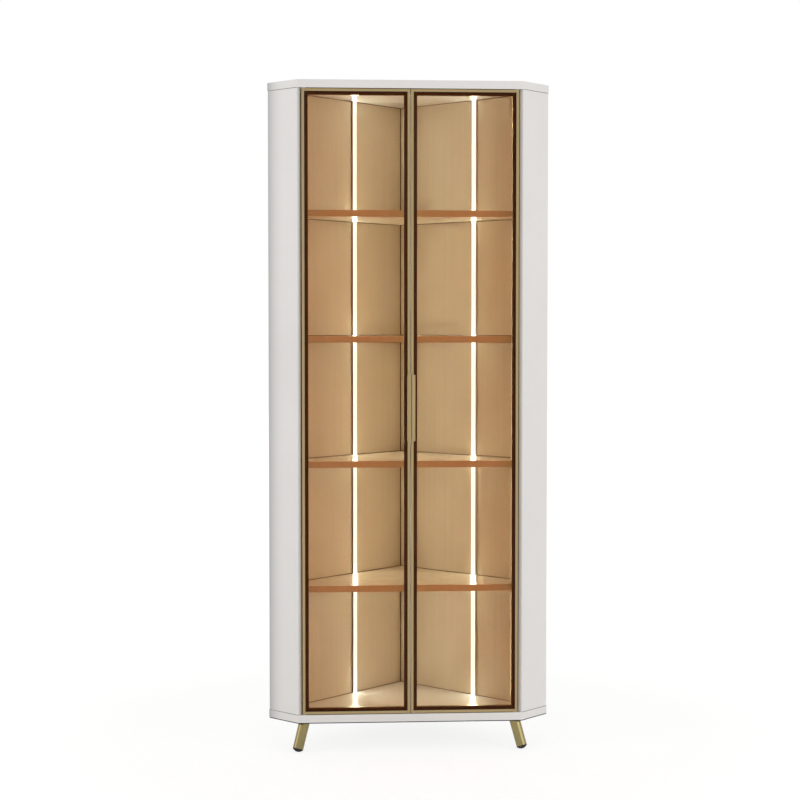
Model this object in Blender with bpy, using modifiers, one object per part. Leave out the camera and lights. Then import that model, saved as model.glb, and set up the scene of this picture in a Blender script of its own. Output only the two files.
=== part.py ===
"""Corner display cabinet with two glazed pivot doors, four shelves and two wall lights.

Units are metres and +Z is up. The two walls of the room meet behind the cabinet and its
doors face -Y. The origin is on the floor, at the centre of the box round the closed cabinet.
"""
import math

import bmesh
import bpy
from mathutils import Vector

# Fit
SEAT = 0.0003               # gap between two pieces that touch

# Carcass
TOTAL_HEIGHT = 2.000
WALL_LENGTH = 0.600         # each wing, from the room's corner along its wall
SIDE_WIDTH = 0.125          # short sides, square to the walls
BOARD_THICKNESS = 0.024     # top and bottom boards
PANEL_THICKNESS = 0.015     # side and back panels
SIDE_PANEL_INSET = 0.002    # side panels stop this far short of the wall
BACK_PANEL_INSET = 0.012    # space for the leads between the back panels and the walls
BOARD_ROUND = 0.001
PANEL_ROUND = 0.0012
CORNER_GAP = 0.0015          # shadow gap between the back panels in the rear corner

# Shelves
SHELF_COUNT = 4
SHELF_THICKNESS = 0.020
SHELF_SETBACK = 0.050       # from the front of the boards to the front of a shelf
SHELF_CLEARANCE = 0.001
SHELF_ROUND = 0.0008
LOWEST_BAY = 0.361          # clear height under the first shelf
PIN_RADIUS = 0.003
PIN_REACH = 0.009
PEG_RADIUS = 0.0025
PEG_LENGTH = 0.008
PIN_FROM_CORNER = 0.060     # the rear pin, along the right wall from the inner corner

# Wall lights
LIGHT_WIDTH = 0.017
LIGHT_HEIGHT = 0.007
LIGHT_FROM_CORNER = {"left": 0.225, "right": 0.310}
CHANNEL_BASE = 0.0012
CHANNEL_WALL = 0.001
COVER_THICKNESS = 0.0018
COVER_ROUND = 0.0008
COVER_LEG = 0.001
COVER_LEG_DEPTH = 0.0018
STRIP_WIDTH = 0.010
STRIP_THICKNESS = 0.0008
BEAD_RADIUS = 0.0011

# Doors
DOOR_REVEAL = 0.002         # above and below each door
DOOR_SIDE_GAP = 0.0025      # from the side panel's front edge to the door
CENTRE_GAP = 0.002
FRAME_DEPTH = 0.020
FRAME_WALL = 0.002
LIP_WIDTH = 0.008
LIP_THICKNESS = 0.0016
TUBE_WIDTH = 0.0185
TUBE_WALL = 0.0015
FRAME_ROUND = 0.0006
GLASS_THICKNESS = 0.004
GLASS_EDGE = 0.003          # from the door's edge to the glass
GLASS_CLIP = 0.0095         # glass corners cut back round the bushings
GASKET_THICKNESS = 0.001
GASKET_EDGE = 0.0087        # from the door's edge to the gasket

# Pivots
PIVOT_FROM_EDGE = 0.006     # from the door's outer edge to its axis
PIVOT_FROM_FRONT = 0.0046   # from the door's front face to its axis
PIVOT_RADIUS = 0.0015
PIVOT_REACH = 0.005         # of the pin into the door
PIVOT_PLATE_RADIUS = 0.0032
PIVOT_PLATE_LENGTH = 0.030
PIVOT_PLATE_THICKNESS = 0.0015
WASHER_RADIUS = 0.0026
BUSHING_WALL = 0.0006
BUSHING_DEPTH = 0.006
FLANGE_RADIUS = 0.004

# Handles
HANDLE_LENGTH = 0.197
HANDLE_WIDTH = 0.011
HANDLE_DEPTH = 0.0095
HANDLE_REACH = 0.030        # from the door's face to the front of the bar
HANDLE_CENTRE = 1.0315      # above the floor
HANDLE_ROUND = 0.0012
POST_RADIUS = 0.0025
POST_SPACING = 0.160

# Magnetic catch
STRIKE_SIZE = (0.012, 0.0012, 0.012)
CATCH_SIZE = (0.040, 0.014, 0.013)
CATCH_ROUND = 0.001

# Legs
LEG_HEIGHT = 0.088          # floor to the underside of the bottom board
LEG_TOP_RADIUS = 0.0165
LEG_FOOT_RADIUS = 0.016
LEG_WALL = 0.0015
LEG_CAP = 0.003
LEG_SPLAY = math.radians(20)
LEG_FROM_CORNER = 0.019     # along the front, from a corner of the board to the leg's centre
LEG_FROM_FRONT = 0.031      # from the front edge of the board to the leg's centre
REAR_LEG_SETBACK = 0.095    # from the rear corner of the board to the leg's centre
STUD_RADIUS = 0.004
STUD_LENGTH = 0.014
GLIDE_HEIGHT = 0.010
GLIDE_PLUG = 0.010
GLIDE_CURVE = 0.020         # radius of the domed underside
GLIDE_FLAT = 0.001          # the dome is worn flat by this much

# Low-voltage socket
SOCKET_RADIUS = 0.004
SOCKET_BORE = 0.0028
SOCKET_FLANGE = 0.0055
SOCKET_FLANGE_THICKNESS = 0.002
SOCKET_FROM_CORNER = 0.080

# Facets round a full turn
STEPS = 32
SMALL_STEPS = 20
ARC_STEPS = 3

# Places worked out from the sizes above
ROOT_TWO = math.sqrt(2)
DEPTH = (WALL_LENGTH + SIDE_WIDTH) / ROOT_TWO
FRONT_WIDTH = (WALL_LENGTH - SIDE_WIDTH) * ROOT_TWO
CORNER_LOSS = BOARD_ROUND * (ROOT_TWO - 1)
FRONT_Y = (HANDLE_REACH + CORNER_LOSS - DEPTH) / 2
REAR_Y = FRONT_Y + DEPTH
BOTTOM_TOP = LEG_HEIGHT + BOARD_THICKNESS
TOP_UNDER = TOTAL_HEIGHT - BOARD_THICKNESS
PANEL_HEIGHT = TOP_UNDER - BOTTOM_TOP - 2 * SEAT
MIDDLE_Z = (TOP_UNDER + BOTTOM_TOP) / 2
INNER_WALL = BACK_PANEL_INSET + PANEL_THICKNESS
INNER_END = WALL_LENGTH - PANEL_THICKNESS
DOOR_TOP = TOP_UNDER - DOOR_REVEAL
DOOR_BOTTOM = BOTTOM_TOP + DOOR_REVEAL
DOOR_OUTER = (INNER_END - SIDE_WIDTH) / ROOT_TWO - DOOR_SIDE_GAP
DOOR_INNER = CENTRE_GAP / 2
DOOR_WIDTH = DOOR_OUTER - DOOR_INNER
DOOR_HEIGHT = DOOR_TOP - DOOR_BOTTOM
GLASS_Y = FRONT_Y + LIP_THICKNESS + SEAT + GLASS_THICKNESS / 2
GASKET_Y = GLASS_Y + GLASS_THICKNESS / 2 + SEAT + GASKET_THICKNESS / 2
TUBE_FRONT = GASKET_Y + GASKET_THICKNESS / 2 + SEAT - FRONT_Y
WASHER = (DOOR_REVEAL - 2 * SEAT) / 2
BUSHING_BORE = PIVOT_RADIUS + SEAT
BUSHING_RADIUS = BUSHING_BORE + BUSHING_WALL

SIDES = {"left": -1, "right": 1}


def clear_scene():
    for item in list(bpy.data.objects):
        bpy.data.objects.remove(item, do_unlink=True)


def new_collection(name):
    collection = bpy.data.collections.new(name)
    bpy.context.scene.collection.children.link(collection)
    return collection


clear_scene()
CABINET = new_collection("corner_cabinet")
CUTTERS = new_collection("cutters")


def linear(channel):
    """One colour channel from 0 to 255 as the linear value that a shader takes."""
    value = channel / 255
    return value / 12.92 if value <= 0.04045 else ((value + 0.055) / 1.055) ** 2.4


def finish(name, colour, roughness, metallic=0.0, alpha=1.0):
    made = bpy.data.materials.new(name)
    made.use_nodes = True
    shader = made.node_tree.nodes["Principled BSDF"]
    shader.inputs["Base Color"].default_value = [*map(linear, colour), 1.0]
    shader.inputs["Roughness"].default_value = roughness
    shader.inputs["Metallic"].default_value = metallic
    shader.inputs["Alpha"].default_value = alpha
    return made


WHITE = finish("white_lacquer", (226, 224, 222), 0.30)
CREAM = finish("cream_gloss_board", (220, 207, 187), 0.22)
BRASS = finish("champagne_frame", (170, 150, 111), 0.32, metallic=1.0)
PLATED = finish("champagne_leg", (154, 144, 104), 0.34, metallic=1.0)
TEA_GLASS = finish("bronze_glass", (150, 98, 62), 0.03, alpha=0.35)
BROWN_RUBBER = finish("brown_rubber", (84, 56, 42), 0.70)
BLACK_RUBBER = finish("black_rubber", (34, 28, 26), 0.70)
ALUMINIUM = finish("anodised_aluminium", (190, 186, 178), 0.35, metallic=1.0)
OPAL = finish("opal_cover", (250, 248, 244), 0.40)
STEEL = finish("steel", (150, 150, 150), 0.35, metallic=1.0)
NYLON = finish("white_nylon", (225, 224, 218), 0.50)
CIRCUIT = finish("light_strip", (240, 214, 120), 0.50)
BLACK_PLASTIC = finish("black_plastic", (26, 24, 22), 0.45)


def wall_point(side, along, out, height=0.0):
    """A point by the wall on one side, measured along it from the corner and out from it."""
    across = side * (along - out) / ROOT_TWO
    return Vector((across, REAR_Y - (along + out) / ROOT_TWO, height))


def place(item, location, rotation, parent):
    item.location = Vector(location)
    item.rotation_euler = rotation
    if parent:
        item.parent = parent
        item.location = item.location - parent.location


def add(name, mesh, material, location=(0, 0, 0), rotation=(0, 0, 0), parent=None):
    """Put a mesh into the cabinet as a named piece. The location is given in the world."""
    item = bpy.data.objects.new(name, mesh)
    mesh.materials.append(material)
    CABINET.objects.link(item)
    place(item, location, rotation, parent)
    return item


def add_tool(name, mesh, location=(0, 0, 0), rotation=(0, 0, 0)):
    """A shape that only cuts or joins others."""
    item = bpy.data.objects.new(name, mesh)
    CUTTERS.objects.link(item)
    item.hide_render = True
    item.display_type = "WIRE"
    place(item, location, rotation, None)
    return item


def combine(item, tool, operation):
    change = item.modifiers.new(f"{operation.title()} {tool.name}", "BOOLEAN")
    change.operation = operation
    change.object = tool
    change.solver = "EXACT"


def cut(item, *tools):
    for tool in tools:
        combine(item, tool, "DIFFERENCE")


def join(item, *tools):
    for tool in tools:
        combine(item, tool, "UNION")


def round_edges(item, width):
    change = item.modifiers.new("Bevel", "BEVEL")
    change.width = width
    change.segments = 2
    change.limit_method = "ANGLE"
    change.angle_limit = math.radians(40)


def box_mesh(name, size):
    shape = bmesh.new()
    bmesh.ops.create_cube(shape, size=1.0)
    bmesh.ops.scale(shape, vec=size, verts=shape.verts)
    mesh = bpy.data.meshes.new(name)
    shape.to_mesh(mesh)
    shape.free()
    return mesh


def rod_mesh(name, radius, low, high, steps=STEPS):
    """A cylinder about Z from the height low to the height high."""
    shape = bmesh.new()
    bmesh.ops.create_cone(
        shape, cap_ends=True, segments=steps, radius1=radius, radius2=radius, depth=high - low)
    bmesh.ops.translate(shape, vec=(0, 0, (low + high) / 2), verts=shape.verts)
    mesh = bpy.data.meshes.new(name)
    shape.to_mesh(mesh)
    shape.free()
    mesh.shade_smooth()
    mesh.set_sharp_from_angle(angle=math.radians(40))
    return mesh


def outline_mesh(name, loops, thickness):
    """A flat outline with its holes, filled and made thick about Z = 0."""
    curve = bpy.data.curves.new(name, "CURVE")
    curve.dimensions = "2D"
    curve.fill_mode = "BOTH"
    curve.extrude = thickness / 2
    for loop in loops:
        spline = curve.splines.new("POLY")
        spline.points.add(len(loop) - 1)
        for point, (x, y) in zip(spline.points, loop):
            point.co = (x, y, 0, 1)
        spline.use_cyclic_u = True
    drawn = bpy.data.objects.new(name, curve)
    CUTTERS.objects.link(drawn)
    graph = bpy.context.evaluated_depsgraph_get()
    mesh = bpy.data.meshes.new_from_object(drawn.evaluated_get(graph))
    bpy.data.objects.remove(drawn, do_unlink=True)
    shape = bmesh.new()
    shape.from_mesh(mesh)
    bmesh.ops.remove_doubles(shape, verts=shape.verts, dist=0.000005)
    bmesh.ops.recalc_face_normals(shape, faces=shape.faces)
    shape.to_mesh(mesh)
    shape.free()
    return mesh


def turned_mesh(name, profile):
    """The half section of a turned piece, as (radius, height) points from its top down."""
    mesh = bpy.data.meshes.new(name)
    points = [(radius, 0, height) for radius, height in profile]
    edges = [(index, index + 1) for index in range(len(points) - 1)]
    if profile[0][0] > 0:
        edges.append((len(points) - 1, 0))
    mesh.from_pydata(points, edges, [])
    return mesh


def turn(item, steps=STEPS):
    """Sweep a turned_mesh once round its Z axis."""
    change = item.modifiers.new("Screw", "SCREW")
    change.steps = steps
    change.render_steps = steps
    change.use_merge_vertices = True
    change.merge_threshold = 0.00005
    change.use_smooth_shade = True


def rounded_corner(corner, before, after, radius):
    """Points of an arc that rounds the corner of an outline between its two neighbours."""
    corner, before, after = Vector(corner), Vector(before), Vector(after)
    back = (before - corner).normalized()
    ahead = (after - corner).normalized()
    half = back.angle(ahead) / 2
    centre = corner + (back + ahead).normalized() * radius / math.sin(half)
    start = (corner + back * radius / math.tan(half) - centre).normalized()
    end = (corner + ahead * radius / math.tan(half) - centre).normalized()
    steps = range(ARC_STEPS + 1)
    return [tuple(centre + radius * start.slerp(end, step / ARC_STEPS)) for step in steps]


def rounded(points, radii):
    """An outline with some of its corners rounded: radii maps a point's index to a radius."""
    result = []
    for index, point in enumerate(points):
        if index in radii:
            after = points[(index + 1) % len(points)]
            result.extend(rounded_corner(point, points[index - 1], after, radii[index]))
        else:
            result.append(point)
    return result


def rectangle(width, height):
    x, y = width / 2, height / 2
    return [(-x, -y), (x, -y), (x, y), (-x, y)]


def slot(radius, length, steps=SMALL_STEPS):
    """A bar with round ends, from the origin back along +Y."""
    half = steps // 2
    front = [math.pi + math.pi * step / half for step in range(half + 1)]
    back = [math.pi * step / half for step in range(half + 1)]
    low = [(radius * math.cos(angle), radius * math.sin(angle)) for angle in front]
    high = [(radius * math.cos(angle), length + radius * math.sin(angle)) for angle in back]
    return low + high


def facing(direction):
    """Rotation that turns +Z to a direction."""
    return Vector(direction).to_track_quat("Z", "Y").to_euler()


# Top and bottom boards

def board(name, centre_z):
    corners = [(0, 0), (WALL_LENGTH, 0), (WALL_LENGTH, SIDE_WIDTH)]
    right = [wall_point(1, along, out).xy for along, out in corners]
    left = [wall_point(-1, along, out).xy for along, out in reversed(corners[1:])]
    item = add(name, outline_mesh(name, [right + left], BOARD_THICKNESS), WHITE, (0, 0, centre_z))
    round_edges(item, BOARD_ROUND)
    return item


top_board = board("top_board", TOTAL_HEIGHT - BOARD_THICKNESS / 2)
bottom_board = board("bottom_board", BOTTOM_TOP - BOARD_THICKNESS / 2)


# Side and back panels

def wall_panel(name, side, along, out, material):
    """An upright panel whose plan is the rectangle between two distances each way."""
    size = (along[1] - along[0], out[1] - out[0], PANEL_HEIGHT)
    middle = wall_point(side, sum(along) / 2, sum(out) / 2, MIDDLE_Z)
    turn_z = -side * math.pi / 4
    item = add(name, box_mesh(name, size), material, middle, (0, 0, turn_z))
    round_edges(item, PANEL_ROUND)
    return item


side_panels = {}
for label, side in SIDES.items():
    side_panels[label] = wall_panel(
        f"{label}_side_panel", side, (INNER_END, WALL_LENGTH), (SIDE_PANEL_INSET, SIDE_WIDTH), WHITE)

# The left back panel runs into the corner and the right one stops just short of its face.
back_start = {"left": BACK_PANEL_INSET, "right": INNER_WALL + CORNER_GAP}
back_panels = {}
for label, side in SIDES.items():
    back_panels[label] = wall_panel(
        f"{label}_back_panel", side, (back_start[label], INNER_END - SEAT),
        (BACK_PANEL_INSET, INNER_WALL), CREAM)


# Shelves on pins, notched round the wall lights

SHELF_TOPS = [BOTTOM_TOP + LOWEST_BAY + SHELF_THICKNESS]
UPPER_BAY = (TOP_UNDER - SHELF_TOPS[0] - (SHELF_COUNT - 1) * SHELF_THICKNESS) / SHELF_COUNT
for index in range(1, SHELF_COUNT):
    SHELF_TOPS.append(SHELF_TOPS[-1] + UPPER_BAY + SHELF_THICKNESS)

SHELF_END = INNER_END - SHELF_CLEARANCE
SHELF_BACK = INNER_WALL + SHELF_CLEARANCE
SHELF_FRONT = (DEPTH - SHELF_SETBACK) * ROOT_TWO - SHELF_END


def shelf_side(label):
    """Plan of one half of a shelf, from its front corner round to the notch by the rear."""
    light = INNER_WALL + LIGHT_FROM_CORNER[label]
    reach = LIGHT_WIDTH / 2 + SHELF_CLEARANCE
    notch = INNER_WALL + SEAT + LIGHT_HEIGHT + SHELF_CLEARANCE
    plan = [
        (SHELF_END, SHELF_FRONT), (SHELF_END, SHELF_BACK), (light + reach, SHELF_BACK),
        (light + reach, notch), (light - reach, notch), (light - reach, SHELF_BACK)]
    return [wall_point(SIDES[label], along, out).xy for along, out in plan]


def shelf_pin(name, face, inward, panel, top):
    """A pin whose peg is in a hole in the panel, under the shelf."""
    centre = face.copy()
    centre.z = top - SHELF_THICKNESS - SEAT - PIN_RADIUS
    profile = [
        (0, PIN_REACH), (PIN_RADIUS, PIN_REACH), (PIN_RADIUS, SEAT), (PEG_RADIUS, SEAT),
        (PEG_RADIUS, -PEG_LENGTH), (0, -PEG_LENGTH)]
    turn(add(name, turned_mesh(name, profile), STEEL, centre, facing(inward)), SMALL_STEPS)
    hole = rod_mesh(f"{name}_hole", PEG_RADIUS + SEAT, -PEG_LENGTH - SEAT, PIN_RADIUS, SMALL_STEPS)
    cut(panel, add_tool(f"{name}_hole", hole, centre, facing(inward)))


for number, top in enumerate(SHELF_TOPS, start=1):
    corner = [wall_point(1, SHELF_BACK, SHELF_BACK).xy]
    plan = shelf_side("right") + corner + list(reversed(shelf_side("left")))
    mesh = outline_mesh(f"shelf_{number}", [plan], SHELF_THICKNESS)
    shelf = add(f"shelf_{number}", mesh, CREAM, (0, 0, top - SHELF_THICKNESS / 2))
    round_edges(shelf, SHELF_ROUND)
    for label, side in SIDES.items():
        face = wall_point(side, INNER_END, (SHELF_FRONT + SHELF_BACK) / 2)
        shelf_pin(f"shelf_{number}_{label}_pin", face, (-side, 1, 0), side_panels[label], top)
    face = wall_point(1, INNER_WALL + PIN_FROM_CORNER, INNER_WALL)
    shelf_pin(f"shelf_{number}_rear_pin", face, (-1, -1, 0), back_panels["right"], top)


# Wall lights: a channel on the back panel, the light strip in it and an opal cover over it

def channel_outline():
    x = LIGHT_WIDTH / 2
    rim = LIGHT_HEIGHT - COVER_THICKNESS - SEAT
    inside = x - CHANNEL_WALL
    return [
        (-x, 0), (-x, -rim), (-inside, -rim), (-inside, -CHANNEL_BASE),
        (inside, -CHANNEL_BASE), (inside, -rim), (x, -rim), (x, 0)]


def cover_outline():
    x = LIGHT_WIDTH / 2
    under = LIGHT_HEIGHT - COVER_THICKNESS
    leg = x - CHANNEL_WALL - SEAT
    foot = under - COVER_LEG_DEPTH
    points = [
        (-x, -under), (-x, -LIGHT_HEIGHT), (x, -LIGHT_HEIGHT), (x, -under),
        (leg, -under), (leg, -foot), (leg - COVER_LEG, -foot), (leg - COVER_LEG, -under),
        (COVER_LEG - leg, -under), (COVER_LEG - leg, -foot), (-leg, -foot), (-leg, -under)]
    return rounded(points, {1: COVER_ROUND, 2: COVER_ROUND})


def strip_outline():
    x = STRIP_WIDTH / 2
    base = CHANNEL_BASE + SEAT
    face = base + STRIP_THICKNESS
    bead = []
    for step in range(2 * ARC_STEPS + 1):
        angle = math.pi * step / (2 * ARC_STEPS)
        bead.append((-BEAD_RADIUS * math.cos(angle), -face - BEAD_RADIUS * math.sin(angle)))
    return [(-x, -base), (-x, -face), *bead, (x, -face), (x, -base)]


for label, side in SIDES.items():
    place_of_light = wall_point(
        side, INNER_WALL + LIGHT_FROM_CORNER[label], INNER_WALL + SEAT, MIDDLE_Z)
    light_turn = (0, 0, -side * math.pi / 4)
    for name, loop, material in (
            ("light_channel", channel_outline(), ALUMINIUM), ("light_strip", strip_outline(), CIRCUIT),
            ("light_cover", cover_outline(), OPAL)):
        mesh = outline_mesh(f"{label}_{name}", [loop], PANEL_HEIGHT)
        add(f"{label}_{name}", mesh, material, place_of_light, light_turn)


# Doors: mitred frames round glass, each turning on a pin at its top and its bottom

def frame_bar_mesh(name, length):
    """A frame bar along Z: X runs in from the door's edge, Y back from its front face."""
    section = [
        (0, 0), (LIP_WIDTH, 0), (LIP_WIDTH, LIP_THICKNESS), (FRAME_WALL, LIP_THICKNESS),
        (FRAME_WALL, TUBE_FRONT), (TUBE_WIDTH, TUBE_FRONT), (TUBE_WIDTH, FRAME_DEPTH), (0, FRAME_DEPTH)]
    section = rounded(section, {0: FRAME_ROUND, 1: FRAME_ROUND, 6: FRAME_ROUND, 7: FRAME_ROUND})
    near, far = TUBE_FRONT + TUBE_WALL, FRAME_DEPTH - TUBE_WALL
    inner = TUBE_WIDTH - TUBE_WALL
    hollow = [(TUBE_WALL, near), (inner, near), (inner, far), (TUBE_WALL, far)]
    mesh = outline_mesh(name, [section, hollow], length)
    # Each end is mitred: it draws back by as much as a point lies in from the edge.
    for vertex in mesh.vertices:
        end = math.copysign(length / 2, vertex.co.z)
        vertex.co.z = end - math.copysign(vertex.co.x + SEAT / ROOT_TWO, end)
    return mesh


def glass_outline(side):
    x, y = DOOR_WIDTH / 2 - GLASS_EDGE, DOOR_HEIGHT / 2 - GLASS_EDGE
    half = [(-x, -y), (x - GLASS_CLIP, -y), (x, GLASS_CLIP - y)]
    points = half + [(px, -py) for px, py in reversed(half)]
    return [(side * px, py) for px, py in points]


def handle(name, side, parent):
    x = side * (DOOR_INNER + HANDLE_WIDTH / 2)
    size = (HANDLE_WIDTH, HANDLE_DEPTH, HANDLE_LENGTH)
    middle_y = FRONT_Y - HANDLE_REACH + HANDLE_DEPTH / 2
    item = add(name, box_mesh(name, size), BRASS, (x, middle_y, HANDLE_CENTRE), parent=parent)
    round_edges(item, HANDLE_ROUND)
    for end in (-1, 1):
        post = rod_mesh(f"{name}_post", POST_RADIUS, SEAT, HANDLE_REACH - HANDLE_DEPTH / 2, SMALL_STEPS)
        foot = (x, FRONT_Y, HANDLE_CENTRE + end * POST_SPACING / 2)
        join(item, add_tool(f"{name}_post", post, foot, facing((0, -1, 0))))


def pivot(label, where, axis, surface, board_item, parent):
    """A plate let into the board with its pin, and the bushing in the door that it enters."""
    upward = 1 if where == "bottom" else -1
    point_out = (0, 0, 0) if where == "bottom" else (0, math.pi, 0)
    point_in = (0, math.pi, 0) if where == "bottom" else (0, 0, 0)
    seat = Vector((axis.x, axis.y, surface))

    name = f"{label}_{where}_pivot"
    plate = outline_mesh(name, [slot(PIVOT_PLATE_RADIUS, PIVOT_PLATE_LENGTH)], PIVOT_PLATE_THICKNESS)
    middle = seat - Vector((0, 0, upward * PIVOT_PLATE_THICKNESS / 2))
    item = add(name, plate, STEEL, middle, point_out)
    pin = turned_mesh(f"{name}_pin", [
        (0, DOOR_REVEAL + PIVOT_REACH), (PIVOT_RADIUS, DOOR_REVEAL + PIVOT_REACH),
        (PIVOT_RADIUS, WASHER), (WASHER_RADIUS, WASHER),
        (WASHER_RADIUS, -PIVOT_PLATE_THICKNESS / 2), (0, -PIVOT_PLATE_THICKNESS / 2)])
    pin_tool = add_tool(f"{name}_pin", pin, seat, point_out)
    turn(pin_tool)
    join(item, pin_tool)

    pocket_depth = PIVOT_PLATE_THICKNESS + SEAT
    pocket = outline_mesh(
        f"{name}_pocket", [slot(PIVOT_PLATE_RADIUS + SEAT, PIVOT_PLATE_LENGTH)], 2 * pocket_depth)
    cut(board_item, add_tool(f"{name}_pocket", pocket, seat, point_out))

    name = f"{label}_{where}_bushing"
    edge = Vector((axis.x, axis.y, surface + upward * DOOR_REVEAL))
    bushing = turned_mesh(name, [
        (BUSHING_BORE, SEAT + WASHER), (FLANGE_RADIUS, SEAT + WASHER), (FLANGE_RADIUS, SEAT),
        (BUSHING_RADIUS, SEAT), (BUSHING_RADIUS, -BUSHING_DEPTH), (BUSHING_BORE, -BUSHING_DEPTH)])
    turn(add(name, bushing, NYLON, edge, point_in, parent))
    hole = rod_mesh(f"{name}_hole", BUSHING_RADIUS + SEAT, -FRAME_WALL - SEAT, SEAT)
    return add_tool(f"{name}_hole", hole, edge, point_in)


for label, side in SIDES.items():
    axis = bpy.data.objects.new(f"{label}_door_axis", None)
    axis.location = (side * (DOOR_OUTER - PIVOT_FROM_EDGE), FRONT_Y + PIVOT_FROM_FRONT, DOOR_BOTTOM)
    CABINET.objects.link(axis)

    middle_x = side * (DOOR_OUTER + DOOR_INNER) / 2
    middle_z = (DOOR_TOP + DOOR_BOTTOM) / 2
    from_left, from_right = (0, 0, 0), (0, math.pi, 0)
    stile_turns = (from_left, from_right) if side < 0 else (from_right, from_left)
    for name, x, rotation in (
            ("hinge_stile", side * DOOR_OUTER, stile_turns[0]),
            ("meeting_stile", side * DOOR_INNER, stile_turns[1])):
        stile = frame_bar_mesh(f"{label}_door_{name}", DOOR_HEIGHT)
        add(f"{label}_door_{name}", stile, BRASS, (x, FRONT_Y, middle_z), rotation, axis)

    rails = {}
    for where, z, tilt in (("top", DOOR_TOP, math.pi / 2), ("bottom", DOOR_BOTTOM, -math.pi / 2)):
        name = f"{label}_door_{where}_rail"
        rails[where] = add(
            name, frame_bar_mesh(name, DOOR_WIDTH), BRASS, (middle_x, FRONT_Y, z), (0, tilt, 0), axis)

    upright = (math.pi / 2, 0, 0)
    name = f"{label}_door_glass"
    pane = outline_mesh(name, [glass_outline(side)], GLASS_THICKNESS)
    add(name, pane, TEA_GLASS, (middle_x, GLASS_Y, middle_z), upright, axis)

    name = f"{label}_door_gasket"
    outer = rectangle(DOOR_WIDTH - 2 * GASKET_EDGE, DOOR_HEIGHT - 2 * GASKET_EDGE)
    inner = rectangle(DOOR_WIDTH - 2 * TUBE_WIDTH, DOOR_HEIGHT - 2 * TUBE_WIDTH)
    ring = outline_mesh(name, [outer, inner], GASKET_THICKNESS)
    add(name, ring, BROWN_RUBBER, (middle_x, GASKET_Y, middle_z), upright, axis)

    handle(f"{label}_handle", side, axis)

    strike_y = FRONT_Y + FRAME_DEPTH + SEAT + STRIKE_SIZE[1] / 2
    strike_place = (side * (DOOR_INNER + TUBE_WIDTH / 2), strike_y, DOOR_TOP - TUBE_WIDTH / 2)
    name = f"{label}_strike_plate"
    add(name, box_mesh(name, STRIKE_SIZE), STEEL, strike_place, parent=axis)

    for where, surface, board_item in (
            ("top", TOP_UNDER, top_board), ("bottom", BOTTOM_TOP, bottom_board)):
        cut(rails[where], pivot(label, where, axis.location, surface, board_item, axis))

catch_y = FRONT_Y + FRAME_DEPTH + 2 * SEAT + STRIKE_SIZE[1] + CATCH_SIZE[1] / 2
catch_place = (0, catch_y, TOP_UNDER - SEAT - CATCH_SIZE[2] / 2)
catch = add("magnetic_catch", box_mesh("magnetic_catch", CATCH_SIZE), BLACK_PLASTIC, catch_place)
round_edges(catch, CATCH_ROUND)


# Legs: tapered tubes that lean outwards, with a glide in each foot

FLOOR_TRIM = 0.060          # size of the blocks that trim the legs level
SLANT = LEG_HEIGHT / math.cos(LEG_SPLAY)
TUBE_END = GLIDE_HEIGHT - SLANT


def leg(name, top, lean):
    """A leg whose centre meets the board at top and which leans outwards along lean."""
    up = Vector((-lean.x * math.sin(LEG_SPLAY), -lean.y * math.sin(LEG_SPLAY), math.cos(LEG_SPLAY)))
    tilt = facing(up)
    rise = LEG_TOP_RADIUS * math.tan(LEG_SPLAY)
    cap = -rise - LEG_CAP
    tube = turned_mesh(name, [
        (0, 2 * rise), (LEG_TOP_RADIUS, 2 * rise), (LEG_TOP_RADIUS, 0), (LEG_FOOT_RADIUS, TUBE_END),
        (LEG_FOOT_RADIUS - LEG_WALL, TUBE_END), (LEG_TOP_RADIUS - LEG_WALL, cap), (0, cap)])
    item = add(name, tube, PLATED, top, tilt)
    turn(item)
    block = box_mesh(f"{name}_trim", (FLOOR_TRIM, FLOOR_TRIM, FLOOR_TRIM))
    over = top + Vector((0, 0, FLOOR_TRIM / 2 - SEAT))
    cut(item, add_tool(f"{name}_trim", block, over))
    stud = rod_mesh(f"{name}_stud", STUD_RADIUS, -LEG_CAP - SEAT, STUD_LENGTH, SMALL_STEPS)
    join(item, add_tool(f"{name}_stud", stud, top))
    hole = rod_mesh(
        f"{name}_hole", STUD_RADIUS + SEAT, -LEG_CAP, STUD_LENGTH + SEAT, SMALL_STEPS)
    cut(bottom_board, add_tool(f"{name}_hole", hole, top))

    plug = LEG_FOOT_RADIUS - LEG_WALL - SEAT
    dome = (GLIDE_CURVE - GLIDE_FLAT) / math.cos(LEG_SPLAY) - SLANT
    spread = math.asin(LEG_FOOT_RADIUS / GLIDE_CURVE)
    profile = [
        (0, TUBE_END + GLIDE_PLUG), (plug, TUBE_END + GLIDE_PLUG), (plug, TUBE_END - SEAT),
        (LEG_FOOT_RADIUS, TUBE_END - SEAT)]
    for step in range(2 * ARC_STEPS + 1):
        angle = spread * (1 - step / (2 * ARC_STEPS))
        profile.append((GLIDE_CURVE * math.sin(angle), dome - GLIDE_CURVE * math.cos(angle)))
    glide = add(f"{name}_glide", turned_mesh(f"{name}_glide", profile), BLACK_RUBBER, top, tilt)
    turn(glide)
    ground = box_mesh(f"{name}_ground", (FLOOR_TRIM, FLOOR_TRIM, FLOOR_TRIM))
    foot = top + lean * LEG_HEIGHT * math.tan(LEG_SPLAY)
    foot.z = -FLOOR_TRIM / 2
    cut(glide, add_tool(f"{name}_ground", ground, foot))


for label, side in SIDES.items():
    x = side * (FRONT_WIDTH / 2 - LEG_FROM_CORNER)
    top = Vector((x, FRONT_Y + LEG_FROM_FRONT, LEG_HEIGHT))
    leg(f"{label}_front_leg", top, Vector((side, -1, 0)).normalized())
leg("rear_leg", Vector((0, REAR_Y - REAR_LEG_SETBACK, LEG_HEIGHT)), Vector((0, 1, 0)))


# Low-voltage socket, through the bottom board in the space behind the right back panel

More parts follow.
